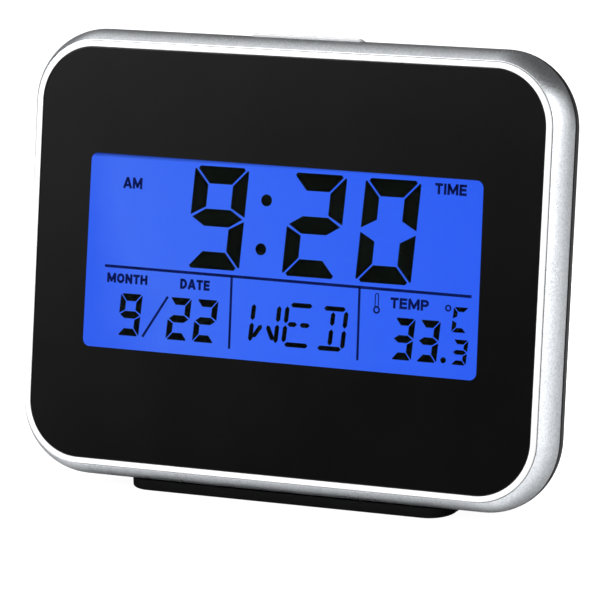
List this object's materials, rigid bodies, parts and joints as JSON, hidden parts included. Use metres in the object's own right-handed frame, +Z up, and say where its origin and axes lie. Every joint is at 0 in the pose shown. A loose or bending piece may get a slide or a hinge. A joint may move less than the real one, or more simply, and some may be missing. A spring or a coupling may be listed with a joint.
{
  "type": "talking clock",
  "caption": "Leaning table clock with a lit display window, silver bezel, talk bar on top, rear keys, speaker grille, battery bay and wedge foot.",
  "frame": {"origin": "on the table, under the middle of the clock's box", "axes": "+Z up, -Y is the way the display faces, +X to the right as seen from the front"},
  "size_m": [0.1194, 0.0426, 0.0921],
  "materials": {
    "silver_bezel": "silver metallic paint on moulded plastic",
    "clear_lens": "clear polished acrylic",
    "black_mask": "black print behind the lens",
    "display_glass": "back-lit blue liquid crystal glass with dark segments",
    "white_plastic": "white moulded plastic",
    "white_film": "white film",
    "clear_guide": "clear moulded light guide",
    "light_bar": "white board with light housings",
    "elastomer": "striped conductive elastomer",
    "green_board": "green solder mask on glass-fibre board",
    "chip_resin": "black potting resin",
    "bright_steel": "nickel plate",
    "dark_steel": "zinc plate, dark",
    "switch_plastic": "black moulded plastic",
    "plunger_plastic": "brown-red moulded plastic",
    "key_plastic": "dark grey satin plastic",
    "slider_plastic": "pale grey satin plastic",
    "talk_bar": "silver-white painted plastic",
    "basket_steel": "pressed zinc-plated steel",
    "speaker_cone": "black pressed film",
    "magnet": "dark sintered magnet",
    "lead_red": "red wire sleeve",
    "cell_sleeve": "plain bronze sleeve over a metal can",
    "black_case": "black fine-textured moulded plastic",
    "black_foot": "black satin moulded plastic",
    "rubber": "matt black rubber"
  },
  "bodies": {
    "case": {"front_bezel": "silver_bezel", "front_lens": "clear_lens", "window_mask": "black_mask", "display_glass": "display_glass", "display_holder": "white_plastic", "diffuser_film": "white_film", "light_guide": "clear_guide", "reflector_film": "white_film", "light_bar": "light_bar", "connector_strip": "elastomer", "circuit_board": "green_board", "voice_chip": "chip_resin", "quartz_crystal": "bright_steel", "temperature_sensor": "chip_resin", "board_screw_1": "bright_steel", "board_screw_2": "bright_steel", "board_screw_3": "bright_steel", "board_screw_4": "bright_steel", "mode_switch": "switch_plastic", "set_switch": "switch_plastic", "up_switch": "switch_plastic", "down_switch": "switch_plastic", "talk_switch": "switch_plastic", "alarm_switch": "bright_steel", "speaker_basket": "basket_steel", "speaker_cone": "speaker_cone", "speaker_magnet": "magnet", "speaker_lead": "lead_red", "upper_cell": "cell_sleeve", "lower_cell": "cell_sleeve", "plus_contact": "bright_steel", "minus_contact": "bright_steel", "bridge_contact": "bright_steel", "rear_case": "black_case", "case_screw_1": "dark_steel", "case_screw_2": "dark_steel", "case_screw_3": "dark_steel", "case_screw_4": "dark_steel", "foot": "black_foot", "foot_screw_1": "dark_steel", "foot_screw_2": "dark_steel", "rubber_pad_1": "rubber", "rubber_pad_2": "rubber", "rubber_pad_3": "rubber", "rubber_pad_4": "rubber"},
    "talk_bar": {"talk_bar": "talk_bar", "talk_plunger": "plunger_plastic"},
    "mode_key": {"mode_key": "key_plastic", "mode_plunger": "plunger_plastic"},
    "set_key": {"set_key": "key_plastic", "set_plunger": "plunger_plastic"},
    "up_key": {"up_key": "key_plastic", "up_plunger": "plunger_plastic"},
    "down_key": {"down_key": "key_plastic", "down_plunger": "plunger_plastic"},
    "alarm_slider": {"alarm_slider": "slider_plastic", "alarm_lever": "switch_plastic"},
    "battery_door": {"battery_door": "black_case"}
  },
  "joints": [
    {"name": "talk_press", "type": "slide", "parent": "case", "child": "talk_bar", "axis": [0, -0.2079, -0.9781], "range_m": [0, 0.0009], "stiffness_N_per_m": 300, "springref_m": -0.002},
    {"name": "mode_press", "type": "slide", "parent": "case", "child": "mode_key", "axis": [0, -0.9781, 0.2079], "range_m": [0, 0.0009], "stiffness_N_per_m": 300, "springref_m": -0.002},
    {"name": "set_press", "type": "slide", "parent": "case", "child": "set_key", "axis": [0, -0.9781, 0.2079], "range_m": [0, 0.0009], "stiffness_N_per_m": 300, "springref_m": -0.002},
    {"name": "up_press", "type": "slide", "parent": "case", "child": "up_key", "axis": [0, -0.9781, 0.2079], "range_m": [0, 0.0009], "stiffness_N_per_m": 300, "springref_m": -0.002},
    {"name": "down_press", "type": "slide", "parent": "case", "child": "down_key", "axis": [0, -0.9781, 0.2079], "range_m": [0, 0.0009], "stiffness_N_per_m": 300, "springref_m": -0.002},
    {"name": "alarm_slide", "type": "slide", "parent": "case", "child": "alarm_slider", "axis": [0, 0.2079, 0.9781], "range_m": [0, 0.004]},
    {"name": "battery_door_lift", "type": "slide", "parent": "case", "child": "battery_door", "axis": [0, 0.9781, -0.2079], "range_m": [0, 0.03]}
  ]
}
